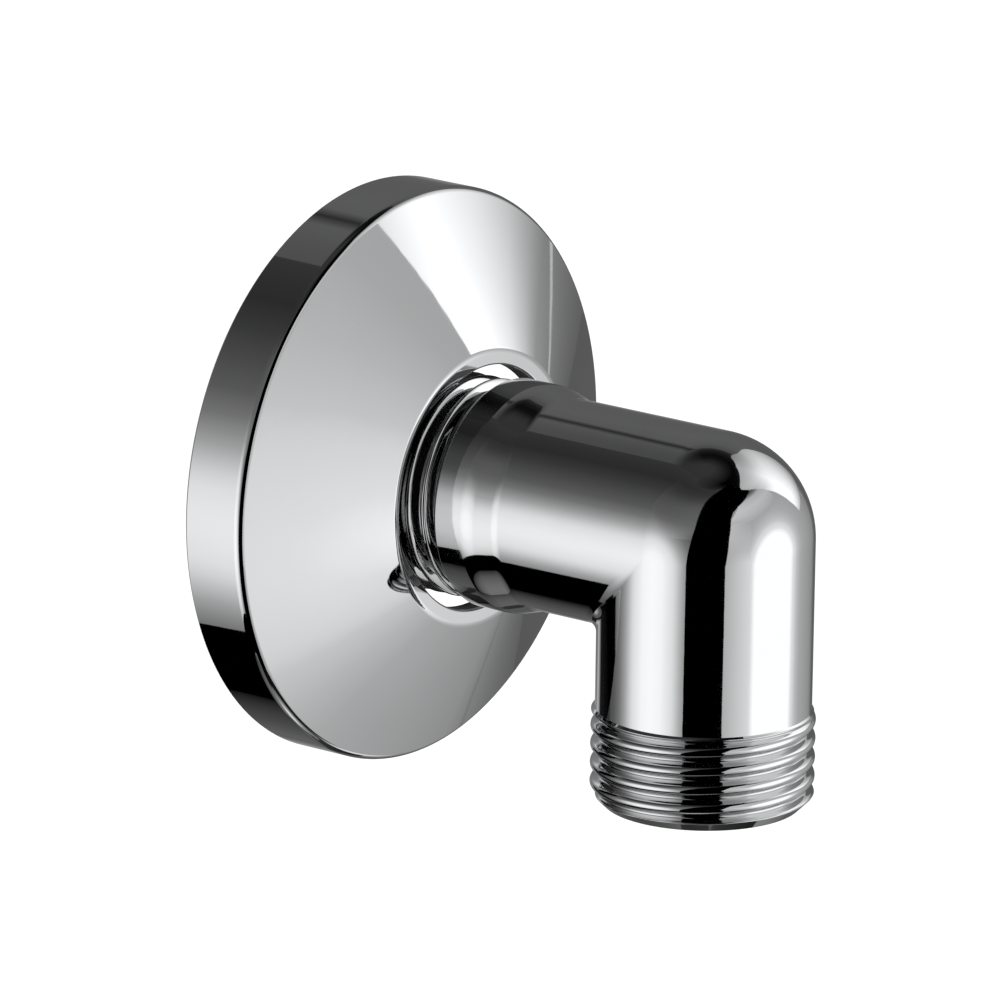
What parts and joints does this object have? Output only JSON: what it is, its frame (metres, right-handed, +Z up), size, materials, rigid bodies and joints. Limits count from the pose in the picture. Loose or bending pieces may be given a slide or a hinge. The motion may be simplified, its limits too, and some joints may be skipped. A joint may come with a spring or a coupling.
{
  "type": "wall outlet elbow",
  "caption": "Chrome wall outlet elbow: threaded inlet through a loose conical wall flange, ball-cornered bend, drop with a threaded outlet for a shower hose.",
  "frame": {"origin": "on the inlet axis in the wall plane, where the flange's back edge stands", "axes": "+Z up, -Y out of the wall along the inlet axis, +Y into the wall, outlet towards -Z"},
  "size_m": [0.055, 0.0605, 0.055],
  "materials": {
    "elbow_chrome": "polished chrome plate on brass",
    "flange_chrome": "polished chrome plate on brass"
  },
  "bodies": {
    "elbow": {"elbow_body": "elbow_chrome"},
    "flange": {"wall_flange": "flange_chrome"}
  },
  "joints": [
    {"name": "flange_slide", "type": "slide", "parent": "elbow", "child": "flange", "axis": [0, -1, 0], "range_m": [0, 0.0156]}
  ]
}
